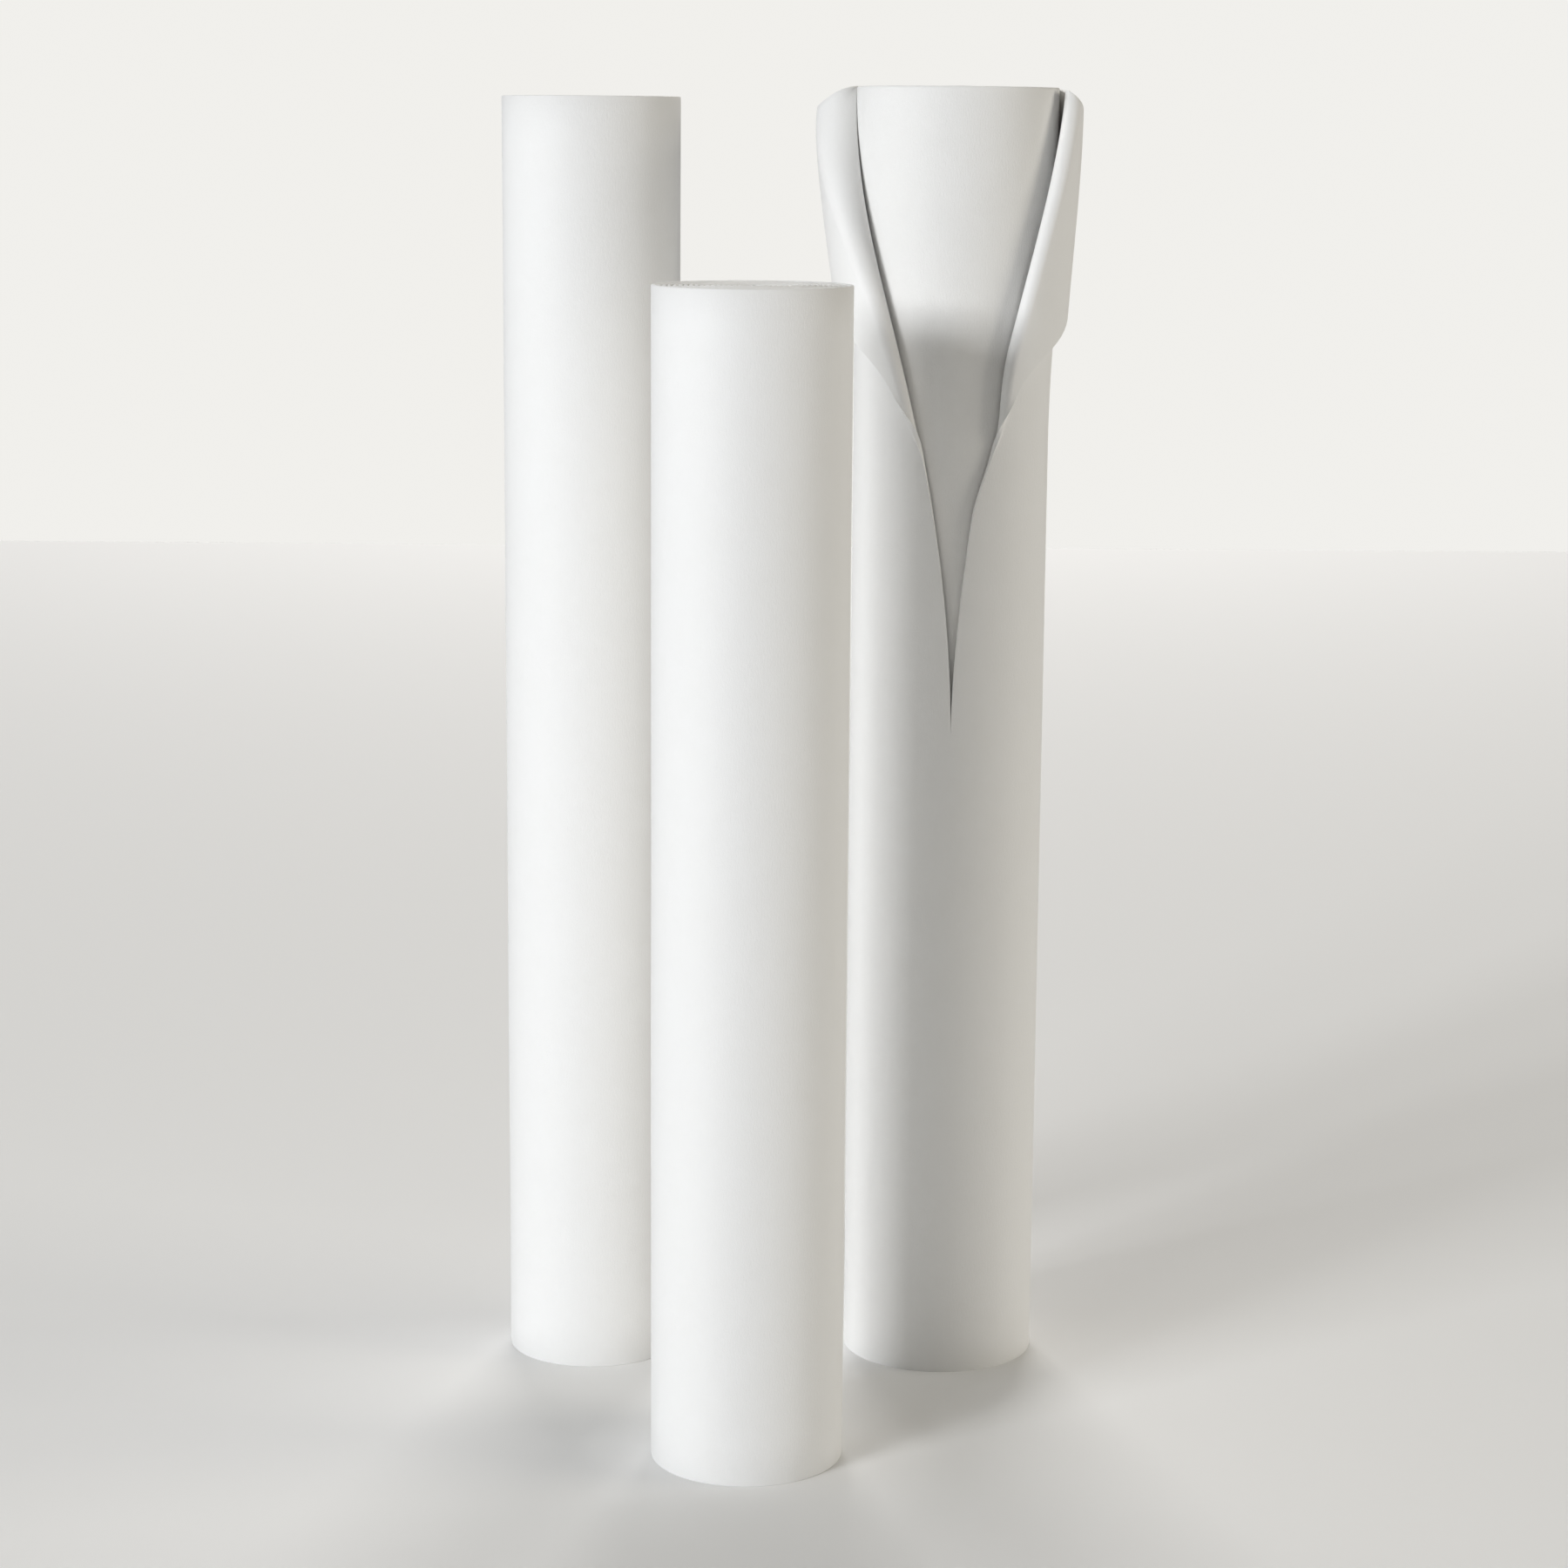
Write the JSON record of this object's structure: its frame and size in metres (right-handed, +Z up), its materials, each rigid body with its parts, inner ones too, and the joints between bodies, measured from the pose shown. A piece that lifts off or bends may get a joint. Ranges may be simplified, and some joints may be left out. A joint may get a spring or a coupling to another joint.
{
  "type": "blending stump set",
  "caption": "Blunt-ended paper blending stumps for smudging drawings, standing together; the one on the right has its cover sheet slit in front and turned back like a collar.",
  "frame": {"origin": "middle of the set's box, on the surface that the stumps stand on", "axes": "+Z up along the stumps, -Y towards the front, +X to the right seen from the front"},
  "size_m": [0.0678, 0.0644, 0.1534],
  "materials": {
    "core_paper": "matte",
    "cover_paper": "matte"
  },
  "bodies": {
    "short_stump": {"middle_core": "core_paper", "middle_cover": "cover_paper"},
    "left_stump": {"left_core": "core_paper", "left_cover": "cover_paper"},
    "right_stump": {"right_core": "core_paper", "right_cover": "cover_paper"}
  },
  "joints": [
    {"name": "left_lift", "type": "slide", "parent": "short_stump", "child": "left_stump", "axis": [0, 0, 1], "range_m": [0, 0.165]},
    {"name": "right_lift", "type": "slide", "parent": "short_stump", "child": "right_stump", "axis": [0, 0, 1], "range_m": [0, 0.165]}
  ]
}
